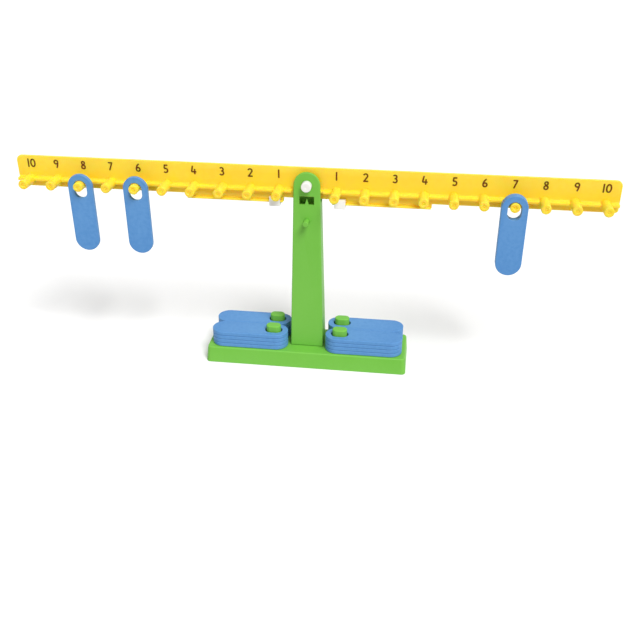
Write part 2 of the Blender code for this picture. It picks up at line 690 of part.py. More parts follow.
def build():
    clear_scene()
    green = plastic("green_plastic", GREEN, 0.38)
    yellow = plastic("yellow_plastic", YELLOW, 0.36)
    blue = plastic("blue_plastic", BLUE, 0.40)
    white = plastic("white_plastic", WHITE, 0.42)
    make_base(green)
    for name, x, y, _ in storage_places():
        make_storage_peg(name, x, y, green)
    add_front_details(make_post_shell("post_front", -1, green))
    add_back_details(make_post_shell("post_back", 1, green))
    make_pivot_pin(white)
    make_beam(yellow)
    make_slider("zero_slider_left", -1, white)
    make_slider("zero_slider_right", 1, white)
    mesh = weight_mesh(blue)
    hang_weights(mesh)
    stack_weights(mesh)


build()
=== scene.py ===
# %% [markdown]
# # A pupil's number balance
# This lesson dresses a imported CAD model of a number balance. The CAD gives the places and the
# moving bodies. Here each piece gets the fine shape and the moulded plastic of the real toy.
# Lengths are metres, +Z is up, and the numbered side of the beam faces -Y.

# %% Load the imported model
import math

import bmesh
import bpy
from mathutils import Matrix, Vector


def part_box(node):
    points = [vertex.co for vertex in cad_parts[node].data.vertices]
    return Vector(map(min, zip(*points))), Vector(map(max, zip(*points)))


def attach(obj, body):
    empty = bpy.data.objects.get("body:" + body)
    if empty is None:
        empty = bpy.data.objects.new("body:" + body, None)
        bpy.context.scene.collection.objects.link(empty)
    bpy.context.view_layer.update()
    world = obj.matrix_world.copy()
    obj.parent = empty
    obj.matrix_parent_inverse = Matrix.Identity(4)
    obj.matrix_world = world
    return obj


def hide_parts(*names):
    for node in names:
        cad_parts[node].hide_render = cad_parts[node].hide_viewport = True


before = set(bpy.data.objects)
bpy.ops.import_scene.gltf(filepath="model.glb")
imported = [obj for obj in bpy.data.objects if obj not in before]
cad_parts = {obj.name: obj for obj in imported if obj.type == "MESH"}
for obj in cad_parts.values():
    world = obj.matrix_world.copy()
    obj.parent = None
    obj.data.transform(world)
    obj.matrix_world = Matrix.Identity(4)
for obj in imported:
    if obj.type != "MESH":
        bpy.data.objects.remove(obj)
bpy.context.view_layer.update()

# %% [markdown]
# ## Where the viewer stands
# The toy was photographed from a little above and a little to the right. The three angles below turn
# a camera that first looks along +Y. A lens is a length in millimetres on a sensor 36 mm wide, so
# the picture keeps its scale at any number of pixels.

# %% Camera
CAMERA_PLACE = (0.117708, -0.828019, 0.501698)
CAMERA_TURN = 0.12486          # to the left, in radians
CAMERA_DIP = 0.49926           # below the horizon
CAMERA_ROLL = 0.00387
CAMERA_LENS = 45.92

camera_data = bpy.data.cameras.new("viewer")
camera_data.sensor_fit = "HORIZONTAL"
camera_data.sensor_width = 36.0
camera_data.lens = CAMERA_LENS
camera_data.clip_start = 0.01
camera = bpy.data.objects.new("viewer", camera_data)
bpy.context.scene.collection.objects.link(camera)
camera.matrix_world = (
    Matrix.Translation(CAMERA_PLACE)
    @ Matrix.Rotation(CAMERA_TURN, 4, "Z")
    @ Matrix.Rotation(math.pi / 2 - CAMERA_DIP, 4, "X")
    @ Matrix.Rotation(CAMERA_ROLL, 4, "Z")
)
bpy.context.scene.camera = camera
print("camera looks along", [round(-c, 4) for c in camera.matrix_world.col[2][:3]])

# %% [markdown]
# ## Sky and lamps
# The shadow of the post's small peg falls to the lower left, so the main light stood high and well to
# the right. A weak one fills in from the front, a little from the left. A sun lamp with a wide angle
# acts as such a soft box, and since it has no distance, it lights the paper floor evenly as far as the
# camera sees. The sky is plain white for the camera and for reflections, and dimmer for the light it
# sends, so the sides of the toy stay darker than its front.

# %% Light
SKY_LIGHT = 0.42
LAMPS = (
    # name, degrees above the floor, degrees to the right, strength, width in degrees
    ("soft_box_above", 53, 38, 2.9, 28),
    ("soft_box_in_front", 8, -25, 0.20, 50),
)

bpy.context.scene.view_settings.view_transform = "Standard"
world = bpy.data.worlds.new("studio")
bpy.context.scene.world = world
world.use_nodes = True
sky = world.node_tree.nodes["Background"]
sky.inputs["Color"].default_value = (1.0, 1.0, 1.0, 1.0)
ray = world.node_tree.nodes.new("ShaderNodeLightPath")
strength = world.node_tree.nodes.new("ShaderNodeMapRange")
strength.inputs["To Min"].default_value = SKY_LIGHT
strength.inputs["To Max"].default_value = 1.0
seen = ray.outputs["Is Camera Ray"]
for kind in ("Is Glossy Ray", "Is Transmission Ray"):
    either = world.node_tree.nodes.new("ShaderNodeMath")
    either.operation = "MAXIMUM"
    world.node_tree.links.new(seen, either.inputs[0])
    world.node_tree.links.new(ray.outputs[kind], either.inputs[1])
    seen = either.outputs[0]
world.node_tree.links.new(seen, strength.inputs["Value"])
world.node_tree.links.new(strength.outputs["Result"], sky.inputs["Strength"])

for name, above, right, power, width in LAMPS:
    lamp_data = bpy.data.lights.new(name, "SUN")
    lamp_data.energy = power
    lamp_data.angle = math.radians(width)
    lamp = bpy.data.objects.new(name, lamp_data)
    raised = Matrix.Rotation(-math.radians(above), 3, "X")
    swung = Matrix.Rotation(math.radians(right), 3, "Z")
    to_lamp = swung @ raised @ Vector((0, -1, 0))
    lamp.rotation_euler = to_lamp.to_track_quat("Z", "Y").to_euler()
    bpy.context.scene.collection.objects.link(lamp)
    print(name, "stands towards", [round(part, 3) for part in to_lamp])

# %% [markdown]
# ## Shader maths as Python sums
# A finish is a small graph of nodes. Wiring each Math node by hand hides the idea, so a wire gets
# Python's own operators: `1 - mask` adds a Math node and gives the next wire.

# %% Wires
class Wire:
    """One output of a shader node, on which sums can be written."""

    def __init__(self, finish, socket):
        self.finish = finish
        self.socket = socket

    def maths(self, operation, first, second):
        """Add one Math node."""
        return self.finish.node("Math", {"operation": operation}, {0: first, 1: second})

    def __add__(self, other):
        return self.maths("ADD", self, other)

    __radd__ = __add__

    def __sub__(self, other):
        return self.maths("SUBTRACT", self, other)

    def __rsub__(self, other):
        return self.maths("SUBTRACT", other, self)

    def __mul__(self, other):
        return self.maths("MULTIPLY", self, other)

    __rmul__ = __mul__


class Finish:
    """A material with a Principled shader, and one method that adds any other node to it."""

    def __init__(self, name):
        self.material = bpy.data.materials.new(name)
        self.material.use_nodes = True
        self.tree = self.material.node_tree
        self.shader = self.tree.nodes["Principled BSDF"]

    def node(self, kind, settings, values, output=0):
        """Add a node: its type, its settings, what feeds its sockets, and which output is used."""
        made = self.tree.nodes.new("ShaderNode" + kind)
        for name, value in settings.items():
            if name == "stops":
                for stop, (place, shade) in zip(made.color_ramp.elements, value):
                    stop.position, stop.color = place, (shade, shade, shade, 1.0)
            else:
                setattr(made, name, value)
        for name, value in values.items():
            self.feed(made.inputs[name], value)
        return Wire(self, made.outputs[output])

    def feed(self, socket, value):
        """Put a wire or a plain value on a socket."""
        if isinstance(value, Wire):
            self.tree.links.new(value.socket, socket)
        else:
            socket.default_value = value

    def set(self, **values):
        """Feed the shader's own sockets, named with _ for each space."""
        for name, value in values.items():
            self.feed(self.shader.inputs[name.replace("_", " ")], value)

    def mixed(self, share, first, second):
        """A colour between two colours."""
        return self.node("Mix", {"data_type": "RGBA"}, {0: share, 6: first, 7: second}, 2)


# %% [markdown]
# ## Moulded plastic
# Styrene comes out of the mould with one colour all through, yet it never looks like flat paint:
# the colour drifts a little where the melt flowed, the skin has a fine orange peel, the handled
# edges are paler, partly rubbed and partly a painted highlight where rounded edges catch the light,
# and thin scuffs dull the gloss. Each of those is one noise pattern here.
# The pattern sits on object coordinates, which move with the piece. A number called `edge` on the
# mesh, made further down, says where the rounded edges are. The yellow also lets light in, which
# scatters below the skin and comes out warmer. That is the shader's subsurface part.

# %% Plastic finish
FLOW_SCALE, SPECK_SCALE, PEEL_SCALE = 16.0, 260.0, 1100.0
SCUFF_TURN, SCUFF_SCALE = (0.3, 0.5, 0.9), (26.0, 900.0, 340.0)     # unequal, so scuffs are long and thin
PEEL_DEPTH = 0.00012
LIGHT_REACH = (1.0, 0.45, 0.10)     # of red, green and blue light, as shares of the depth


def moulded_plastic(name, colour, drifted, rubbed_and_highlit, roughness, depth=0.0):
    """A gloss plastic: its colour, the colour it drifts to, that of rubbed edges with painted highlight, how
    deep light goes.
    """
    finish = Finish(name)
    place = finish.node("TexCoord", {}, {}, "Object")
    flow = finish.node("TexNoise", {}, {"Vector": place, "Scale": FLOW_SCALE, "Detail": 3.0,
                                        "Distortion": 0.8})
    speck = finish.node("TexNoise", {}, {"Vector": place, "Scale": SPECK_SCALE, "Detail": 2.0})
    peel = finish.node("TexNoise", {}, {"Vector": place, "Scale": PEEL_SCALE, "Detail": 2.0})
    long_way = finish.node("Mapping", {}, {"Vector": place, "Rotation": SCUFF_TURN, "Scale": SCUFF_SCALE})
    streak = finish.node("TexNoise", {}, {"Vector": long_way, "Scale": 1.0, "Detail": 1.0})
    scuff = finish.node("ValToRGB", {"stops": ((0.66, 0.0), (0.74, 1.0))}, {"Fac": streak})
    edge = finish.node("Attribute", {"attribute_name": "edge"}, {}, "Fac")
    # Rounded edges turn paler: partly rubbed wear, partly a painted highlight where edges catch the light.
    rub_and_highlight = finish.node("ValToRGB", {"stops": ((0.30, 0.0), (0.95, 1.0))}, {"Fac": edge * (0.45 + speck)})
    drift = finish.node("ValToRGB", {"stops": ((0.34, 0.0), (0.68, 1.0))}, {"Fac": flow})
    base = finish.mixed(drift * 0.8 + speck * 0.2, (*colour, 1.0), (*drifted, 1.0))
    height = peel * 0.4 + flow * 0.6 - scuff * 0.3
    finish.set(
        # The edge colour mixed in here is rubbed wear plus a painted edge highlight.
        Base_Color=finish.mixed(rub_and_highlight * 0.55 + scuff * 0.10, base, (*rubbed_and_highlit, 1.0)),
        Roughness=roughness + (flow - 0.5) * 0.16 + scuff * 0.14 + rub_and_highlight * 0.08,
        Normal=finish.node("Bump", {}, {"Strength": 0.35, "Distance": PEEL_DEPTH, "Height": height}),
        IOR=1.5,
        Specular_IOR_Level=0.2,
        Subsurface_Weight=1.0 if depth else 0.0,
        Subsurface_Radius=LIGHT_REACH,
        Subsurface_Scale=depth,
    )
    return finish.material


YELLOW = (0.965, 0.685, 0.043)
GREEN = (0.172, 0.492, 0.062)
BLUE = (0.075, 0.240, 0.545)
WHITE = (0.885, 0.880, 0.850)
# The third colour of each plastic is its rounded edges: rubbed wear and a painted highlight.
yellow = moulded_plastic("yellow_moulded", YELLOW, (0.950, 0.650, 0.034), (0.970, 0.750, 0.090), 0.36, 0.0025)
green = moulded_plastic("green_moulded", GREEN, (0.156, 0.468, 0.052), (0.186, 0.505, 0.076), 0.40)
blue = moulded_plastic("blue_moulded", BLUE, (0.066, 0.222, 0.520), (0.150, 0.350, 0.660), 0.40)
white = moulded_plastic("white_moulded", WHITE, (0.820, 0.805, 0.750), (0.900, 0.890, 0.860), 0.42)
print("plastics:", yellow.name, green.name, blue.name, white.name)

# %% [markdown]
# ## Printed ink
# The numbers are printed on the plate in dark brown. Ink lies a few hundredths of a millimetre
# thick, is a little matter than the plastic, and is rubbed thin in tiny spots.

# %% Ink finish
INK_DARK, INK_LIGHT = (0.135, 0.028, 0.001, 1.0), (0.165, 0.038, 0.002, 1.0)
INK_WORN = (0.420, 0.230, 0.030, 1.0)
INK_GRAIN = 0.00005


def printed_ink():
    """A dark ink that is worn in tiny spots."""
    finish = Finish("brown_ink")
    place = finish.node("TexCoord", {}, {}, "Object")
    spot = finish.node("TexNoise", {}, {"Vector": place, "Scale": 900.0, "Detail": 3.0})
    wide = finish.node("TexNoise", {}, {"Vector": place, "Scale": 120.0, "Detail": 2.0})
    thin = finish.node("ValToRGB", {"stops": ((0.62, 0.0), (0.80, 1.0))}, {"Fac": spot})
    body = finish.mixed(wide, INK_DARK, INK_LIGHT)
    finish.set(
        Base_Color=finish.mixed(thin * 0.25, body, INK_WORN),
        Roughness=0.55 + (wide - 0.5) * 0.2,
        Normal=finish.node("Bump", {}, {"Strength": 0.4, "Distance": INK_GRAIN, "Height": spot}),
        IOR=1.48,
        Specular_IOR_Level=0.15,
    )
    return finish.material


ink = printed_ink()
print("ink:", ink.name)

# %% [markdown]
# ## From a bmesh to a finished piece
# Every piece ends the same way. Doubles are merged, the normals are worked out anew, and each
# vertex gets its `edge` number, which is high where the surface turns outwards in small steps, as on
# a rounded edge. A weighted-normal modifier keeps the flats flat in the shading. Then the piece is
# hung under the body it rides on and gets its finish, and the CAD node it stands for is hidden.

# %% Finishing helpers
MERGE = 0.000002
STEEP = math.radians(34)       # a turn that shows as a crisp corner
ROUND_STEP = math.radians(14)  # the turn from face to face on a rounded edge


def mark_edges(shape):
    """Give each vertex a number from 0 to 1 that says how much it lies on a rounded edge."""
    layer = shape.verts.layers.float.new("edge")
    for vert in shape.verts:
        turns = [edge.calc_face_angle_signed(0.0) for edge in vert.link_edges if len(edge.link_faces) == 2]
        outward = [turn for turn in turns if 0.0 < turn < STEEP]
        steepest = max(turns, default=0.0)
        vert[layer] = 0.0 if steepest >= STEEP or not outward else min(1.0, sum(outward) / 2 / ROUND_STEP)


def as_object(name, shape):
    """A plain object made of a bmesh, with its place in its mesh."""
    bmesh.ops.remove_doubles(shape, verts=shape.verts, dist=MERGE)
    bmesh.ops.recalc_face_normals(shape, faces=shape.faces)
    mesh = bpy.data.meshes.new(name)
    shape.to_mesh(mesh)
    shape.free()
    thing = bpy.data.objects.new(name, mesh)
    bpy.context.scene.collection.objects.link(thing)
    return thing


def finished(thing, material, body, node):
    """The last steps that every piece shares."""
    shape = bmesh.new()
    shape.from_mesh(thing.data)
    bmesh.ops.remove_doubles(shape, verts=shape.verts, dist=MERGE)
    mark_edges(shape)
    shape.to_mesh(thing.data)
    shape.free()
    thing.data.materials.clear()
    thing.data.materials.append(material)
    thing.data.shade_smooth()
    thing.data.set_sharp_from_angle(angle=STEEP)
    flats = thing.modifiers.new("flats", "WEIGHTED_NORMAL")
    flats.keep_sharp = True
    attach(thing, body)
    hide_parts(node)
    low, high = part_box(node)
    corners = [vert.co for vert in thing.data.vertices]
    mine_low = Vector(min(c[i] for c in corners) for i in range(3))
    mine_high = Vector(max(c[i] for c in corners) for i in range(3))
    past = max(max(low - mine_low), max(mine_high - high))
    print(f"{thing.name}: {len(thing.data.polygons)} faces, {past * 1000:+.2f} mm past its CAD box")
    return thing


print("corners over", round(math.degrees(STEEP)), "degrees stay crisp")

# %% [markdown]
# ## Shapes from outlines
# Most of the toy is plates and bars. A plate starts as a few corner points that make one face. Its
# corners are rounded with a vertex bevel while it is flat, then it is extruded, and last its rim is
# rounded with an edge bevel. Solids are joined or cut with a boolean whose result is kept at once.

# %% Outline helpers
ROUND_STEPS = 5
OVERRUN = 0.002                # how far a cutting shape runs past what it cuts


def bevelled(shape, parts, radius, steps, affect="EDGES"):
    """Round some edges, or some corners where affect says VERTICES."""
    bmesh.ops.bevel(shape, geom=parts, offset=radius, offset_type="OFFSET", segments=steps, profile=0.5,
                    affect=affect, material=-1, clamp_overlap=True)


def flat_face(points, roundings=()):
    """One face through the points. Each rounding is (point number, radius, steps)."""
    shape = bmesh.new()
    corners = [shape.verts.new(point) for point in points]
    shape.faces.new(corners)
    for number, radius, steps in roundings:
        bevelled(shape, [corners[number]], radius, steps, "VERTICES")
    return shape


def extruded(shape, by):
    """Give a flat face its thickness."""
    grown = bmesh.ops.extrude_face_region(shape, geom=list(shape.faces))["geom"]
    bmesh.ops.translate(shape, verts=[part for part in grown if isinstance(part, bmesh.types.BMVert)], vec=by)
    bmesh.ops.recalc_face_normals(shape, faces=shape.faces)
    return shape


def rim_rounded(shape, chosen, radius, steps=ROUND_STEPS):
    """Round the edges whose two ends both pass the test and that turn by more than a step of an arc."""
    edges = [edge for edge in shape.edges
             if all(chosen(vert.co) for vert in edge.verts) and edge.calc_face_angle(0.0) > STEEP]
    bevelled(shape, edges, radius, steps)
    return shape


def turned(profile, centre, sides):
    """Spin a profile of (radius, y) pairs once round a line along Y."""
    shape = bmesh.new()
    verts = [shape.verts.new((centre[0] + radius, y, centre[1])) for radius, y in profile]
    edges = [shape.edges.new(pair) for pair in zip(verts, verts[1:])]
    bmesh.ops.spin(shape, geom=verts + edges, cent=(centre[0], 0.0, centre[1]), axis=(0, 1, 0),
                   dvec=(0, 0, 0), angle=2 * math.pi, steps=sides, use_merge=True, use_duplicate=False)
    bmesh.ops.remove_doubles(shape, verts=shape.verts, dist=MERGE)
    bmesh.ops.recalc_face_normals(shape, faces=shape.faces)
    return shape


def quarter(centre, radius, start, steps=ROUND_STEPS, turn=1.0):
    """Points of an arc; angles are in quarter turns."""
    angles = [math.pi / 2 * (start + turn * step / steps) for step in range(steps + 1)]
    return [(centre[0] + radius * math.cos(angle), centre[1] + radius * math.sin(angle)) for angle in angles]


def boolean(target, operation, *shapes):
    """Join shapes to an object, or cut them out of it, and keep the result."""
    helpers = [as_object("helper", shape) for shape in shapes]
    for helper in helpers:
        step = target.modifiers.new("step", "BOOLEAN")
        step.operation, step.object, step.solver = operation, helper, "EXACT"
    depsgraph = bpy.context.evaluated_depsgraph_get()
    target.data = bpy.data.meshes.new_from_object(target.evaluated_get(depsgraph))
    target.modifiers.clear()
    for helper in helpers:
        bpy.data.objects.remove(helper, do_unlink=True)
    return target


print("a quarter round has", len(quarter((0.0, 0.0), 1.0, 0)), "points")

# %% [markdown]
# ## The weights
# Each weight is a flat bar with round ends and a round-ended slot, which hangs on a peg. It is
# quickest to start from two circles: pull one half of each away, so both become slot shapes, then
# bridge them into a flat ring. The ring gets its thickness, and its edges get the soft round
# of the mould. All twenty come from this one shape, laid at the place that the CAD gives.

# %% The weight's shape
WEIGHT_SIDES = 96
WEIGHT_LENGTH, WEIGHT_WIDTH, WEIGHT_THICKNESS = 0.0885, 0.0273, 0.0045
SLOT_WIDTH, SLOT_LENGTH = 0.0143, 0.0200
WEIGHT_EDGE, SLOT_EDGE = 0.0006, 0.0004


def stretched_circle(shape, radius, near, far):
    """A circle whose halves are pulled apart: its arcs have their centres at near and far on X."""
    verts = bmesh.ops.create_circle(shape, segments=WEIGHT_SIDES, radius=radius,
                                    matrix=Matrix.Rotation(math.pi / WEIGHT_SIDES, 4, "Z"))["verts"]
    for half, shift in ((1, far), (-1, near)):
        bmesh.ops.translate(shape, verts=[vert for vert in verts if vert.co.x * half > 0], vec=(shift, 0, 0))
    return [edge for edge in shape.edges if edge.verts[0] in verts]


def weight_shape():
    """A weight that lies flat with its middle at the origin and its tail along +X."""
    shape = bmesh.new()
    reach = (WEIGHT_LENGTH - WEIGHT_WIDTH) / 2
    outer = stretched_circle(shape, WEIGHT_WIDTH / 2, 0.0, 2 * reach)
    slot = stretched_circle(shape, SLOT_WIDTH / 2, 0.0, SLOT_LENGTH - SLOT_WIDTH)
    bmesh.ops.bridge_loops(shape, edges=outer + slot)
    bmesh.ops.translate(shape, verts=shape.verts, vec=(-reach, 0, -WEIGHT_THICKNESS / 2))
    extruded(shape, (0, 0, WEIGHT_THICKNESS))

    def in_slot(co):
        from_middle = co.x + reach - (SLOT_LENGTH - SLOT_WIDTH) / 2
        return abs(co.y) < SLOT_WIDTH / 2 + MERGE and abs(from_middle) < SLOT_LENGTH / 2 + MERGE

    rim_rounded(shape, lambda co: not in_slot(co), WEIGHT_EDGE)
    rim_rounded(shape, in_slot, SLOT_EDGE, 3)
    mesh = bpy.data.meshes.new("weight")
    shape.to_mesh(mesh)
    shape.free()
    return mesh


weight_mesh = weight_shape()
print("weight:", len(weight_mesh.polygons), "faces")

# %% Lay or hang each weight
for node in sorted(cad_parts):
    if not node.startswith(("weight_", "stored_")):
        continue
    low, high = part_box(node)
    if node.startswith("weight_"):
        tail, face = Vector((0, 0, -1)), Vector((0, -1, 0))
    else:
        tail, face = Vector((1 if "right" in node else -1, 0, 0)), Vector((0, 0, 1))
    turn = Matrix((tail, face.cross(tail), face)).transposed()
    shape = bmesh.new()
    shape.from_mesh(weight_mesh)
    bmesh.ops.transform(shape, verts=shape.verts, matrix=Matrix.Translation((low + high) / 2) @ turn.to_4x4())
    finished(as_object(node + "_bar", shape), blue, node, node)

# %% [markdown]
# ## The beam
# The beam is one long moulding. A thin upright plate carries a narrow ledge on both faces, twenty
# pegs on the front, a hub in the middle, and two shallow rails below for the zero sliders. Its low edge
# rises in a flat arch over the window of the post. Each form is made on its own from an outline or a
# turned profile, with its edges already rounded, and then they are joined.

# %% Sizes of the plate and rails
PIVOT, PITCH = 0.2120, 0.0310     # the height of the axle, and the way from peg to peg
PLATE_HALF, PLATE_EDGE = 0.0015, 0.00035
BEAM_END = 10 * PITCH + 0.0140
PLATE_TOP, PLATE_LOW = PIVOT + 0.0180, PIVOT - 0.0164
ARCH_HALF, ARCH_TOP, ARCH_SLOPE = 0.0120, PIVOT - 0.0146, 0.0015     # from above, clear of the window
RAIL_LOW = PLATE_LOW - 0.0050
RAIL_START, RAIL_END = PITCH - 0.0050, 4 * PITCH + 0.0090
LIP_HALF, LIP_HIGH, LIP_STEP = PLATE_HALF + 0.0030, 0.0020, 0.0006
ARCH_ROUND, RAIL_ROUND, LOW_ROUND, TOP_ROUND = 0.0008, 0.0006, 0.0030, 0.0060
print("half a beam:", BEAM_END, "m")

# %% The plate and rails
plate_side = [
    # x, z, radius of the corner
    (ARCH_HALF, ARCH_TOP, ARCH_ROUND), (ARCH_HALF + ARCH_SLOPE, PLATE_LOW, ARCH_ROUND),
    (RAIL_START, PLATE_LOW, RAIL_ROUND), (RAIL_START, RAIL_LOW + LIP_STEP, 0.0),
    (RAIL_END, RAIL_LOW + LIP_STEP, 0.0), (RAIL_END, PLATE_LOW, RAIL_ROUND),
    (BEAM_END, PLATE_LOW, LOW_ROUND), (BEAM_END, PLATE_TOP, TOP_ROUND),
]
plate_corners = plate_side + [(-x, z, radius) for x, z, radius in reversed(plate_side)]
plate = flat_face([(x, -PLATE_HALF, z) for x, z, _ in plate_corners],
                  [(number, corner[2], 10) for number, corner in enumerate(plate_corners) if corner[2]])
extruded(plate, (0, 2 * PLATE_HALF, 0))
rim_rounded(plate, lambda co: True, PLATE_EDGE, 3)
beam = as_object("beam_moulding", plate)
print("plate:", len(beam.data.polygons), "faces")

# %% [markdown]
# The ledge has one cross-section, with a fillet where it meets the plate, which is drawn once and
# extruded along X. Between the walls of the post runs a narrower stretch of it. The lips under the
# rails are plain bars with soft edges.

# %% The ledges and lips
LEDGE_TOP, LEDGE_LOW, LEDGE_EDGE = PIVOT - 0.0060, PIVOT - 0.0090, PLATE_HALF + 0.0060
LEDGE_START, LEDGE_END = 0.0172, BEAM_END - 0.0005
LEDGE_FILLET, BAR_ROUND = 0.0018, 0.0005
NECK_START, NECK_EDGE, NECK_OVERLAP = 0.0040, 0.0051, 0.0002


def ledge(side, face, start, end, reach):
    """One ledge: side is -1 left of the post, face is -1 in front, reach is its outer edge."""
    top = LEDGE_TOP + 2 * LEDGE_FILLET
    section = [(0.0, LEDGE_LOW), (reach, LEDGE_LOW), (reach, LEDGE_TOP), (PLATE_HALF, LEDGE_TOP),
               (PLATE_HALF, top), (0.0, top)]
    shape = flat_face([(side * start, face * y, z) for y, z in section], [(3, LEDGE_FILLET, 8)])
    for vert in shape.verts:
        if vert.co.z > top - MERGE:     # above the fillet it leans into the plate, so no faces share a plane
            vert.co.y /= 2
    extruded(shape, (side * (end - start), 0, 0))
    return rim_rounded(shape, lambda co: abs(co.y) > reach - MERGE, BAR_ROUND, 4)


def lip(side):
    """The bar under one rail, which a zero slider grips."""
    low, high = sorted((side * (RAIL_START + LIP_STEP), side * (RAIL_END - LIP_STEP)))
    shape = flat_face([(low, -LIP_HALF, RAIL_LOW), (high, -LIP_HALF, RAIL_LOW), (high, LIP_HALF, RAIL_LOW),
                       (low, LIP_HALF, RAIL_LOW)])
    extruded(shape, (0, 0, LIP_HIGH))
    return rim_rounded(shape, lambda co: True, BAR_ROUND, 4)


ledges = []
for side in (-1, 1):
    for face in (-1, 1):
        ledges.append(ledge(side, face, LEDGE_START, LEDGE_END, LEDGE_EDGE))
        ledges.append(ledge(side, face, NECK_START, LEDGE_START + NECK_OVERLAP, NECK_EDGE))
boolean(beam, "UNION", *ledges, lip(-1), lip(1))
print("with ledges and lips:", len(beam.data.polygons), "faces")

# %% [markdown]
# A peg is a turned shape: a small flare at its root, a little draft so that it leaves the mould, a
# rounded tip, and in the tip the round dimple with a tiny nib that the mould's gate leaves. A profile
# spun once round its axis gives all of that.

# %% The pegs and hub
PEG_HEIGHT = PIVOT - 0.0080
PEG_SIDES, HUB_SIDES = 48, 64
PEG_TIP_Y = -PLATE_HALF - 0.0233
PEG_ROOT, PEG_TIP = 0.0054, 0.0052
TIP_ROUND, ROOT_FLARE = 0.0009, 0.0005
DIMPLE, DIMPLE_DEEP, DIMPLE_SOFT = 0.0021, 0.0006, 0.0003
NIB, NIB_FLANK, NIB_HIGH, NIB_DOME = 0.0006, 0.0002, 0.0003, 0.00005
HUB_RADIUS, HUB_HALF, HUB_EDGE = 0.0090, 0.00525, 0.0004
BORE_RADIUS, BORE_EDGE = 0.0058, 0.0001


def peg(x):
    """A peg at one place along the beam, from the middle of its tip round to its root."""
    sunk = PEG_TIP_Y + DIMPLE_DEEP
    profile = [(0.0, sunk - NIB_HIGH), (NIB, sunk - NIB_HIGH + NIB_DOME), (NIB + NIB_FLANK, sunk),
               (DIMPLE - DIMPLE_SOFT, sunk), (DIMPLE, sunk - DIMPLE_SOFT),
               (DIMPLE + DIMPLE_SOFT / 2, PEG_TIP_Y + DIMPLE_SOFT / 3), (DIMPLE + DIMPLE_SOFT, PEG_TIP_Y)]
    profile += quarter((PEG_TIP - TIP_ROUND, PEG_TIP_Y + TIP_ROUND), TIP_ROUND, -1, 6)
    profile += quarter((PEG_ROOT + ROOT_FLARE, -PLATE_HALF - ROOT_FLARE), -ROOT_FLARE, 0, 4)
    profile += [(PEG_ROOT + ROOT_FLARE, -PLATE_HALF / 2), (0.0, -PLATE_HALF / 2)]
    return turned(profile, (x, PEG_HEIGHT), PEG_SIDES)


def round_bar(radius, low_y, high_y, edge):
    """A turned bar on the axle's line, with its rims rounded."""
    profile = [(0.0, low_y)] + quarter((radius - edge, low_y + edge), edge, -1, 3)
    profile += quarter((radius - edge, high_y - edge), edge, 0, 3) + [(0.0, high_y)]
    return turned(profile, (0.0, PIVOT), HUB_SIDES)


PEGS = [number for number in range(-10, 11) if number]
boolean(beam, "UNION", round_bar(HUB_RADIUS, -HUB_HALF, HUB_HALF, HUB_EDGE),
        *[peg(number * PITCH) for number in PEGS])
boolean(beam, "DIFFERENCE", round_bar(BORE_RADIUS, -2 * HUB_HALF, 2 * HUB_HALF, BORE_EDGE))
finished(beam, yellow, "beam", "beam")

# %% [markdown]
# ## The numbers
# They are the plain round numbers of a school book: a stroke of even width, a bare upright for 1, and
# a 4 with an open top. A font would bring other shapes, so a small pen draws them. Its nib is
# one edge. A straight stroke extrudes the nib, and a bend spins it round a point beside it.

# %% A pen for numbers
BEND_STEP = 6                  # degrees


class Pen:
    """Draws a flat stroke on the plate's front. Headings are degrees from +X towards +Z."""

    def __init__(self, x, z, heading, width):
        self.shape = bmesh.new()
        self.place = Vector((x, 0.0, z))
        self.start = self.place.copy()
        self.heading = math.radians(heading)
        across = self.left() * (width / 2)
        ends = [self.shape.verts.new(self.place + across), self.shape.verts.new(self.place - across)]
        self.nib = self.shape.edges.new(ends)
        self.corners = list(ends)

    def left(self):
        return Vector((-math.sin(self.heading), 0.0, math.cos(self.heading)))

    def ahead(self):
        return Vector((math.cos(self.heading), 0.0, math.sin(self.heading)))

    def line(self, length):
        """Go straight on."""
        grown = bmesh.ops.extrude_edge_only(self.shape, edges=[self.nib])["geom"]
        verts = [part for part in grown if isinstance(part, bmesh.types.BMVert)]
        bmesh.ops.translate(self.shape, verts=verts, vec=self.ahead() * length)
        self.nib = next(part for part in grown
                        if isinstance(part, bmesh.types.BMEdge) and set(part.verts) == set(verts))
        self.place += self.ahead() * length
        return self

    def bend(self, radius, degrees):
        """Turn left by some degrees on an arc, or right where they are negative."""
        side = 1 if degrees > 0 else -1
        centre = self.place + self.left() * radius * side
        steps = max(3, round(abs(degrees) / BEND_STEP))
        grown = bmesh.ops.spin(self.shape, geom=list(self.nib.verts) + [self.nib], cent=centre,
                               axis=(0, -1, 0), dvec=(0, 0, 0), angle=math.radians(degrees), steps=steps,
                               use_merge=False, use_duplicate=False)["geom_last"]
        self.nib = next(part for part in grown if isinstance(part, bmesh.types.BMEdge))
        spoke = self.place - centre
        self.heading += math.radians(degrees)
        self.place = centre + Matrix.Rotation(math.radians(degrees), 3, (0, -1, 0)) @ spoke
        return self

    def lifted(self):
        """The finished stroke. Its four corners are kept to be rounded, unless it closes into a ring."""
        self.corners += list(self.nib.verts)
        if (self.place - self.start).length < MERGE:
            self.corners = []
        return self.shape


def rounded_ends(shape, corners, radius):
    """Round the corners at the two ends of a stroke."""
    open_corners = [vert for vert in corners if vert.is_valid and len(vert.link_edges) == 2]
    if open_corners:
        bevelled(shape, open_corners, radius, 4, "VERTICES")


# %% [markdown]
# Each number is a list of strokes in a box one unit high, with the origin at the left foot. A ring is a
# bend of a full turn. The strokes of one number lie at slightly different levels, so that
# where they cross, no two faces fall into the same plane.

# %% The ten figures
NUMBER_HEIGHT, STROKE = 0.0096, 0.0016
STROKE_ROUND = STROKE * 0.35
INK_THICK = 0.00006


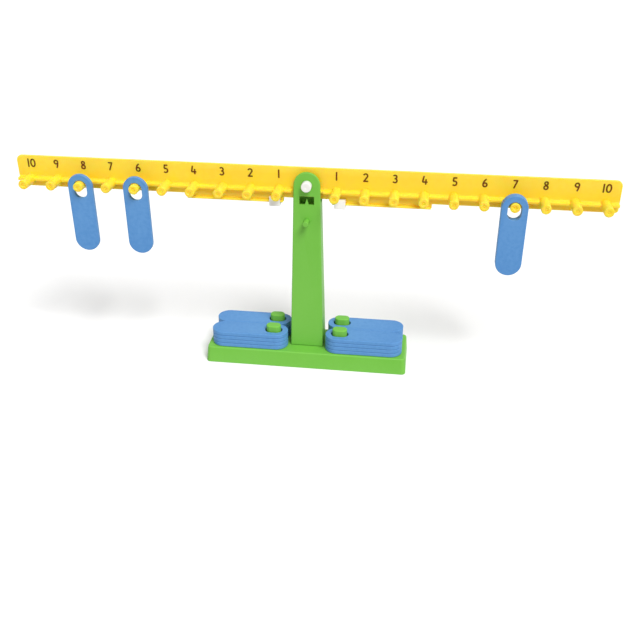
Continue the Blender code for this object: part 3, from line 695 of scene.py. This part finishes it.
def oval(half_wide, half_high, end):
    """Bends that go round an oval from its right side; end is the radius at its top and foot."""
    side = (half_wide ** 2 + (half_high - end) ** 2 - end ** 2) / (2 * (half_wide - end))
    turn = math.degrees(math.atan2(half_high - end, side - half_wide))
    return [(side, turn), (end, 180 - 2 * turn), (side, 2 * turn), (end, 180 - 2 * turn), (side, turn)]


def strokes(figure):
    """Lists of (start x, start z, heading, moves); a move is a length or a (radius, degrees) bend."""
    half = STROKE / NUMBER_HEIGHT / 2
    if figure == "0":
        return 0.64, [(0.64 - half, 0.5, 90, oval(0.32 - half, 0.5 - half, 0.18))]
    if figure == "1":
        return 2 * half, [(half, 1.0, -90, [1.0])]
    if figure == "2":
        return 0.57, [(0.065, 0.76, 75, [(0.215, -200), 0.60]), (0.0, half, 0, [0.57])]
    if figure == "3":
        return 0.56, [(0.085, 0.82, 60, [(0.19, -240), 0.05]), (0.20, 0.535, 0, [0.05, (0.225, -240)])]
    if figure == "4":
        return 0.62, [(0.20, 1.0, -101, [0.64, (0.06, 101), 0.48]), (0.43, 0.64, -91, [0.64])]
    if figure == "5":
        return 0.57, [(0.52, 1.0 - half, 180, [0.43]), (0.165, 1.0, -97, [0.46]),
                      (0.099, 0.49, 40, [(0.235, -270)])]
    if figure == "6":
        return 0.58, [(0.42, 0.93, 212, [(0.713, 58), 0.04]), (0.29, 0.58 - half, 180, [(0.29 - half, 360)])]
    if figure == "7":
        return 0.54, [(0.0, 1.0 - half, 0, [0.52]), (0.455, 0.93, -110.4, [0.96])]
    if figure == "8":
        return 0.57, [(0.285, 1.0 - half, 180, [(0.25 - half, 360)]),
                      (0.285, 0.57 - half, 180, [(0.285 - half, 360)])]
    return 0.58, [(0.29, 1.0 - half, 180, [(0.29 - half, 360)]), (0.58 - half, 0.74, -92, [(1.7, -25)])]


def draw_figure(shape, figure, left, foot):
    """Add one figure to the shape, and return its width."""
    width, lines = strokes(figure)
    for level, (x, z, heading, moves) in enumerate(lines):
        pen = Pen(x * NUMBER_HEIGHT, z * NUMBER_HEIGHT, heading, STROKE)
        for move in moves:
            if isinstance(move, tuple):
                pen.bend(move[0] * NUMBER_HEIGHT, move[1])
            else:
                pen.line(move * NUMBER_HEIGHT)
        stroke = pen.lifted()
        rounded_ends(stroke, pen.corners, STROKE_ROUND)
        bmesh.ops.remove_doubles(stroke, verts=stroke.verts, dist=MERGE * 5)
        extruded(stroke, (0, -INK_THICK - level * INK_THICK / 8, 0))
        bmesh.ops.translate(stroke, verts=stroke.verts, vec=(left, -PLATE_HALF + INK_THICK / 4, foot))
        part = bpy.data.meshes.new("stroke")
        stroke.to_mesh(part)
        stroke.free()
        shape.from_mesh(part)
        bpy.data.meshes.remove(part)
    return width * NUMBER_HEIGHT


print("widths of the figures:", [round(strokes(figure)[0], 3) for figure in "0123456789"])

# %% Print the numbers on the beam
NUMBER_MIDDLE = 0.2217
FIGURE_GAP = 0.0013
TEN_SHIFT = {-10: 0.0027, 10: -0.0007}     # the two tens are printed a little nearer the post

numbers = bmesh.new()
for number in PEGS:
    figures = str(abs(number))
    widths = [strokes(figure)[0] * NUMBER_HEIGHT for figure in figures]
    whole = sum(widths) + FIGURE_GAP * (len(figures) - 1)
    left = number * PITCH + TEN_SHIFT.get(number, 0.0) - whole / 2
    for figure in figures:
        left += draw_figure(numbers, figure, left, NUMBER_MIDDLE - NUMBER_HEIGHT / 2) + FIGURE_GAP
printed = as_object("beam_numbers", numbers)
printed.data.materials.append(ink)
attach(printed, "beam")
print("numbers:", len(printed.data.polygons), "faces")

# %% [markdown]
# ## The post
# The post is two trays, a front and a back one, which snap together and leave an open slot at the
# head for the beam. Seen from the front it tapers and ends in a half circle, and its faces lean in
# towards the top. An outline is extruded and its outer side is moved onto the leaning face. Then
# the hollow, the slot, the bore and the little window are cut out. Inside, two pins of the front
# tray press into two tubes of the back one.

# %% The outline of the post
POST_FOOT, FOOT_HALF, HEAD_RADIUS = 0.0188, 0.0188, 0.0144
FOOT_DEPTH, HEAD_DEPTH = 0.0130, 0.0080
POST_WALL, POST_FLOOR, PART_LINE = 0.0022, 0.0025, 0.00015
SLOT_FLOOR = PIVOT - 0.0196
WEB_TOP, WEB_LOW = SLOT_FLOOR - 0.0043, SLOT_FLOOR - 0.0063     # the web roofs the hollow below the slot


def lean(z, foot, head):
    """A size of the post at a height, from its foot to the axle."""
    return foot + (head - foot) * (z - POST_FOOT) / (PIVOT - POST_FOOT)


def inner_half(z):
    """Half the width between the walls at a height."""
    return lean(z, FOOT_HALF, HEAD_RADIUS) - POST_WALL


def post_side(outline, side, start, inset):
    """A solid from near the parting plane out to the leaning face, less an inset."""
    far = 4 * FOOT_DEPTH
    shape = extruded(flat_face([(x, side * start, z) for x, z in outline]), (0, side * (far - start), 0))
    for vert in shape.verts:
        if abs(vert.co.y) > far / 2:
            vert.co.y = side * (lean(vert.co.z, FOOT_DEPTH, HEAD_DEPTH) - inset)
    bmesh.ops.recalc_face_normals(shape, faces=shape.faces)
    return shape


head_arc = quarter((0.0, PIVOT), HEAD_RADIUS, 0, 40, 2.0)
post_outline = [(-FOOT_HALF, POST_FOOT), (FOOT_HALF, POST_FOOT)] + head_arc
floor_z = POST_FOOT + POST_FLOOR
wide, narrow = inner_half(floor_z), inner_half(WEB_LOW)
hollow_outline = [(-wide, floor_z), (wide, floor_z), (narrow, WEB_LOW), (-narrow, WEB_LOW)]
wide, narrow, past = inner_half(WEB_TOP), inner_half(SLOT_FLOOR), 2 * FOOT_HALF
slot_outline = [(-wide, WEB_TOP), (wide, WEB_TOP), (narrow, SLOT_FLOOR), (past, SLOT_FLOOR),
                (past, PIVOT + past), (-past, PIVOT + past), (-past, SLOT_FLOOR), (-narrow, SLOT_FLOOR)]
print("post outline:", len(post_outline), "points")

# %% Sizes inside the post
FIT = 0.0003                   # left between pieces that slide or are pressed together
JOIN = 0.001                   # how deep a joined form reaches into its neighbour
POST_ROUND = 0.0012
TENON_X, TENON_Y, TENON_LOW, TENON_WALL, TENON_ROOF = 0.0140, 0.0070, 0.0027, 0.002, 0.0023
SNAP_PIN, SNAP_TUBE, SNAP_REACH, SNAP_ROUND = 0.0025, 0.0046, 0.0050, 0.0004
SNAP_HEIGHTS = (PIVOT - 0.0542, PIVOT - 0.1509)


def bar(x, y, z, edge=0.0):
    """A bar between three pairs of limits."""
    shape = flat_face([(x[0], y[0], z[0]), (x[1], y[0], z[0]), (x[1], y[1], z[0]), (x[0], y[1], z[0])])
    extruded(shape, (0, 0, z[1] - z[0]))
    return rim_rounded(shape, lambda co: True, edge, 3) if edge else shape


def plain_round(radius, low_y, high_y, height):
    """A plain round bar along Y, with its far rim rounded."""
    shape = bmesh.new()
    stand_up = Matrix.Translation((0, low_y, height)) @ Matrix.Rotation(math.pi / 2, 4, "X")
    bmesh.ops.create_circle(shape, cap_ends=True, segments=32, radius=radius, matrix=stand_up)
    extruded(shape, (0, high_y - low_y, 0))
    return rim_rounded(shape, lambda co: co.y > high_y - MERGE, SNAP_ROUND, 3)


# %% Two shells
def post_shell(name, side):
    """One tray of the post: side is -1 for the front one."""
    body = post_side(post_outline, side, PART_LINE, 0.0)
    rim_rounded(body, lambda co: abs(co.y) > HEAD_DEPTH / 2, POST_ROUND, 6)
    shell = as_object(name, body)
    boolean(shell, "DIFFERENCE", post_side(hollow_outline, side, -OVERRUN, POST_WALL),
            post_side(slot_outline, side, -OVERRUN, POST_WALL),
            round_bar(BORE_RADIUS, -2 * FOOT_DEPTH, 2 * FOOT_DEPTH, BORE_EDGE))
    for height in SNAP_HEIGHTS:
        wall = side * (lean(height, FOOT_DEPTH, HEAD_DEPTH) - POST_WALL / 2)
        boolean(shell, "UNION", plain_round(SNAP_TUBE, *sorted((side * PART_LINE, wall)), height))
    y = sorted((side * PART_LINE, side * TENON_Y))
    core = sorted((side * (PART_LINE + TENON_WALL), side * (TENON_Y - TENON_WALL)))
    core_x = TENON_X - TENON_WALL
    boolean(shell, "UNION", bar((-TENON_X, TENON_X), y, (TENON_LOW, POST_FOOT + JOIN)))
    boolean(shell, "DIFFERENCE", bar((-core_x, core_x), core, (0.0, POST_FOOT - TENON_ROOF)))
    return shell


back_shell = post_shell("post_back_shell", 1)
boolean(back_shell, "DIFFERENCE", *[
    plain_round(SNAP_PIN + FIT, -OVERRUN, SNAP_REACH + FIT, height) for height in SNAP_HEIGHTS])
finished(back_shell, green, "stand", "post_back")

# %% [markdown]
# The front shell also has a window with a pointed index on its sill. Seen straight from the front, the
# arch in the beam's low edge ends at the index's tip. A short round peg stands out below.

# %% Window, index and small peg
WINDOW_HALF, WINDOW_TOP, WINDOW_SILL = 0.0080, PIVOT - 0.0118, PIVOT - 0.0212
WINDOW_ROUND = 0.0005
INDEX_HALF, INDEX_TIP = 0.0021, WINDOW_SILL + 0.0067
REST_HEIGHT, REST_RADIUS, REST_REACH = PIVOT - 0.0395, 0.0030, 0.0110
REST_ROUND, REST_FLARE = 0.0006, 0.0004
front_shell = post_shell("post_front_shell", -1)
boolean(front_shell, "UNION", *[
    plain_round(SNAP_PIN, -SNAP_REACH, SNAP_REACH, height) for height in SNAP_HEIGHTS])
window = [(-WINDOW_HALF, WINDOW_SILL), (-INDEX_HALF, WINDOW_SILL), (0.0, INDEX_TIP),
          (INDEX_HALF, WINDOW_SILL), (WINDOW_HALF, WINDOW_SILL), (WINDOW_HALF, WINDOW_TOP),
          (-WINDOW_HALF, WINDOW_TOP)]
opening = flat_face([(x, -2 * FOOT_DEPTH, z) for x, z in window],
                    [(corner, WINDOW_ROUND, 4) for corner in (4, 5, 6, 0)])
boolean(front_shell, "DIFFERENCE", extruded(opening, (0, 2 * FOOT_DEPTH, 0)))
rest_face = -lean(REST_HEIGHT, FOOT_DEPTH, HEAD_DEPTH)
tip = rest_face - REST_REACH
rest_profile = [(0.0, tip)] + quarter((REST_RADIUS - REST_ROUND, tip + REST_ROUND), REST_ROUND, -1, 5)
rest_profile += quarter((REST_RADIUS + REST_FLARE, rest_face - REST_FLARE), -REST_FLARE, 0, 4)
rest_profile += [(REST_RADIUS + REST_FLARE, rest_face + JOIN), (0.0, rest_face + JOIN)]
boolean(front_shell, "UNION", turned(rest_profile, (0.0, REST_HEIGHT), 40))
finished(front_shell, green, "stand", "post_front")

# %% [markdown]
# ## The base
# The base is a shallow tray turned upside down, with ribs below it. Its walls lean in towards the top, so
# that it leaves the mould. The outer block is rounded first, then hollowed, and the ribs, the
# socket of the post and the bosses of the storage pegs are joined to it from below.

# %% Sizes of the base
BASE_X, BASE_Y, BASE_HIGH = 0.1161, 0.0327, 0.0185
END_LEAN, SIDE_LEAN = 0.0013, 0.0028      # how far the walls lean in from foot to deck
BASE_CORNER, BASE_ROUND, FOOT_ROUND = 0.0046, 0.0016, 0.0003
BASE_WALL, BASE_DECK = 0.0024, 0.0026
ABOVE_DECK = 0.03                         # where cuts through the deck end
RIB, RIB_LOW, CELLS = 0.0018, 0.0010, 3
RIB_TOP = BASE_HIGH - BASE_DECK / 2
SOCKET_X, SOCKET_Y, SOCKET_WALL, SOCKET_FLOOR = 0.0143, 0.0073, 0.0022, 0.0024
PEG_HALF_LONG, PEG_HALF_WIDE, PEG_TOP = 0.0085, 0.00565, 0.0446
FOOT_INSET, BOSS_WALL = 0.0028, 0.002     # the foot of a storage peg is smaller than the peg
PEG_PLACES = {}
for node in sorted(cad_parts):
    if node.startswith("storage_peg_"):
        low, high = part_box(node)
        PEG_PLACES[node] = ((low.x + high.x) / 2, (low.y + high.y) / 2)
print("storage pegs:", [[round(part, 4) for part in place] for place in PEG_PLACES.values()])


# %% A slab, a rib and a bar with round ends
def rounded_slab(half_x, half_y, low, high, corner):
    """A block with rounded upright edges and leaning walls."""
    shape = flat_face([(-half_x, -half_y, low), (half_x, -half_y, low), (half_x, half_y, low),
                       (-half_x, half_y, low)], [(number, corner, 14) for number in range(4)])
    extruded(shape, (0, 0, high - low))
    for vert in shape.verts:
        vert.co.x -= math.copysign(END_LEAN * vert.co.z / BASE_HIGH, vert.co.x)
        vert.co.y -= math.copysign(SIDE_LEAN * vert.co.z / BASE_HIGH, vert.co.y)
    return shape


def rib(place, along):
    """A rib whose ends lie in the middle of two leaning walls."""
    half, rib_lean = (BASE_X, END_LEAN) if along == "X" else (BASE_Y, SIDE_LEAN)
    ends = [(half - BASE_WALL / 2 - rib_lean * z / BASE_HIGH, z) for z in (RIB_LOW, RIB_TOP)]
    outline = [(-ends[0][0], ends[0][1]), ends[0], ends[1], (-ends[1][0], ends[1][1])]
    if along == "X":
        return extruded(flat_face([(a, place - RIB / 2, z) for a, z in outline]), (0, RIB, 0))
    return extruded(flat_face([(place - RIB / 2, a, z) for a, z in outline]), (RIB, 0, 0))


def stadium_bar(centre, half_long, half_wide, low, high):
    """A bar with half-round ends that stands at a place."""
    shape = bmesh.new()
    straight = half_long - half_wide
    start = shape.verts.new((centre[0] + straight, centre[1] - half_wide, low))
    for side in (1, -1):
        arc = bmesh.ops.spin(shape, geom=[start], cent=(centre[0] + side * straight, centre[1], low),
                             axis=(0, 0, 1), dvec=(0, 0, 0), angle=math.pi, steps=20, use_merge=False,
                             use_duplicate=False)
        end = next(part for part in arc["geom_last"] if isinstance(part, bmesh.types.BMVert))
        if side == 1:
            start = bmesh.ops.extrude_vert_indiv(shape, verts=[end])["verts"][0]
            start.co.x -= 2 * straight
    bmesh.ops.contextual_create(shape, geom=list(shape.verts))
    return extruded(shape, (0, 0, high - low))


# %% The base moulding
block = rounded_slab(BASE_X, BASE_Y, 0.0, BASE_HIGH, BASE_CORNER)
rim_rounded(block, lambda co: co.z > BASE_HIGH / 2, BASE_ROUND, 7)
rim_rounded(block, lambda co: co.z < MERGE, FOOT_ROUND, 2)
base = as_object("base_moulding", block)
boolean(base, "DIFFERENCE", rounded_slab(BASE_X - BASE_WALL, BASE_Y - BASE_WALL, -OVERRUN,
                                         BASE_HIGH - BASE_DECK, BASE_CORNER - BASE_WALL))
socket_edge = SOCKET_X + SOCKET_WALL
cell = (BASE_X - BASE_WALL / 2 - socket_edge) / CELLS
ribs = [rib(0.0, "X")]
for side in (-1, 1):
    for x in (socket_edge - RIB / 2, socket_edge + cell, socket_edge + 2 * cell):
        ribs.append(rib(side * x, "Y"))
socket_side = SOCKET_Y + SOCKET_WALL
ribs.append(bar((-socket_edge, socket_edge), (-socket_side, socket_side), (RIB_LOW, RIB_TOP)))
hole_long, hole_wide = PEG_HALF_LONG - FOOT_INSET + FIT, PEG_HALF_WIDE - FOOT_INSET + FIT
for place in PEG_PLACES.values():
    ribs.append(stadium_bar(place, hole_long + BOSS_WALL, hole_wide + BOSS_WALL, RIB_LOW, RIB_TOP))
boolean(base, "UNION", *ribs)
boolean(base, "DIFFERENCE", bar((-SOCKET_X, SOCKET_X), (-SOCKET_Y, SOCKET_Y), (SOCKET_FLOOR, ABOVE_DECK)),
        *[stadium_bar(place, hole_long, hole_wide, -OVERRUN, ABOVE_DECK) for place in PEG_PLACES.values()])
finished(base, green, "stand", "base")

# %% [markdown]
# ## Storage pegs
# Four upright pegs with round ends keep the spare weights in stacks. Their tops have a soft round, and a
# smaller foot below each is pressed into a boss of the base.

# %% The storage pegs
PEG_SEAT, PEG_ROUND = BASE_HIGH + FIT, 0.0014
for node, place in PEG_PLACES.items():
    body = stadium_bar(place, PEG_HALF_LONG, PEG_HALF_WIDE, PEG_SEAT, PEG_TOP)
    rim_rounded(body, lambda co: co.z > PEG_TOP - MERGE, PEG_ROUND, 7)
    storage_peg = as_object(node + "_post", body)
    boolean(storage_peg, "UNION", stadium_bar(place, PEG_HALF_LONG - FOOT_INSET,
                                              PEG_HALF_WIDE - FOOT_INSET, RIB_LOW, PEG_SEAT + JOIN))
    finished(storage_peg, green, "stand", node)

# %% [markdown]
# ## Pivot pin
# A white pin carries the beam. It is a turned shape with a rounded front end, which has the shallow
# mark of the mould's gate, and a flat head behind the post.

# %% The pivot pin
low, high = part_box("pivot_pin")
PIN_RADIUS, PIN_ROUND = 0.0055, 0.0011
GATE_RADIUS, GATE_DEEP = 0.0010, 0.0003
PIN_HEAD, HEAD_THICK, HEAD_ROUND, HEAD_EDGE = 0.0076, 0.0022, 0.0009, 0.0002
seat = high.y - HEAD_THICK
pin_profile = [(0.0, low.y + GATE_DEEP), (GATE_RADIUS, low.y + GATE_DEEP), (GATE_RADIUS + GATE_DEEP, low.y)]
pin_profile += quarter((PIN_RADIUS - PIN_ROUND, low.y + PIN_ROUND), PIN_ROUND, -1, 7)
pin_profile += [(PIN_RADIUS, seat), (PIN_HEAD - HEAD_EDGE, seat), (PIN_HEAD, seat + HEAD_EDGE)]
pin_profile += quarter((PIN_HEAD - HEAD_ROUND, high.y - HEAD_ROUND), HEAD_ROUND, 0, 6)
pin_profile += [(0.0, high.y)]
pin = as_object("pivot_pin_turned", turned(pin_profile, (0.0, PIVOT), 64))
finished(pin, white, "stand", "pivot_pin")

# %% [markdown]
# ## Zero sliders
# Two white clips slide along the lips under the beam and bring it level when it is empty. Their
# cross-section is a C that is open upwards.

# %% The zero sliders
SLIDER_WALL, SLIDER_FOOT, SLIDER_ARM, SLIDER_ROUND = 0.0020, 0.0035, 0.0040, 0.0007
lip_clear, neck, shoulder = LIP_HALF + FIT, PLATE_HALF + FIT, LIP_HIGH + FIT
outside, arm_top = lip_clear + SLIDER_WALL, shoulder + SLIDER_ARM
slider_half = [(outside, -FIT - SLIDER_FOOT), (outside, arm_top), (neck, arm_top), (neck, shoulder),
               (lip_clear, shoulder), (lip_clear, -FIT)]
slider_section = slider_half + [(-y, z) for y, z in reversed(slider_half)]
for side in ("left", "right"):
    node = "zero_slider_" + side
    low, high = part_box(node)
    shape = flat_face([(low.x, y, RAIL_LOW + z) for y, z in slider_section])
    extruded(shape, (high.x - low.x, 0, 0))
    rim_rounded(shape, lambda co: abs(co.y) > lip_clear + SLIDER_WALL / 2, SLIDER_ROUND, 5)
    finished(as_object(node + "_clip", shape), white, node, node)

# %% [markdown]
# ## Paper floor
# The floor is a plain wide sheet just under the base. It isn't part of the toy. It is pale for the
# camera and for reflections, and greyer for the light that it throws back up, so that the underside
# of the toy stays dark.

# %% The floor
PAPER, PAPER_GLOW = (0.98, 0.98, 0.98, 1.0), (0.64, 0.64, 0.64, 1.0)
PAPER_SIZE, PAPER_BELOW = 20.0, 0.0002
floor_shape = bmesh.new()
bmesh.ops.create_grid(floor_shape, x_segments=4, y_segments=4, size=PAPER_SIZE)
bmesh.ops.translate(floor_shape, verts=floor_shape.verts, vec=(0, 0, -PAPER_BELOW))
floor = as_object("paper", floor_shape)
paper = Finish("white_paper")
paper_place = paper.node("TexCoord", {}, {}, "Object")
paper_grain = paper.node("TexNoise", {}, {"Vector": paper_place, "Scale": 400.0, "Detail": 2.0})
paper_seen = paper.node("LightPath", {}, {}, "Is Camera Ray")
for kind in ("Is Glossy Ray", "Is Transmission Ray"):
    paper_seen = paper_seen.maths("MAXIMUM", paper_seen, paper.node("LightPath", {}, {}, kind))
paper.set(Base_Color=paper.mixed(paper_seen, PAPER_GLOW, PAPER), Roughness=0.9 + (paper_grain - 0.5) * 0.1,
          Specular_IOR_Level=0.0)
floor.data.materials.append(paper.material)
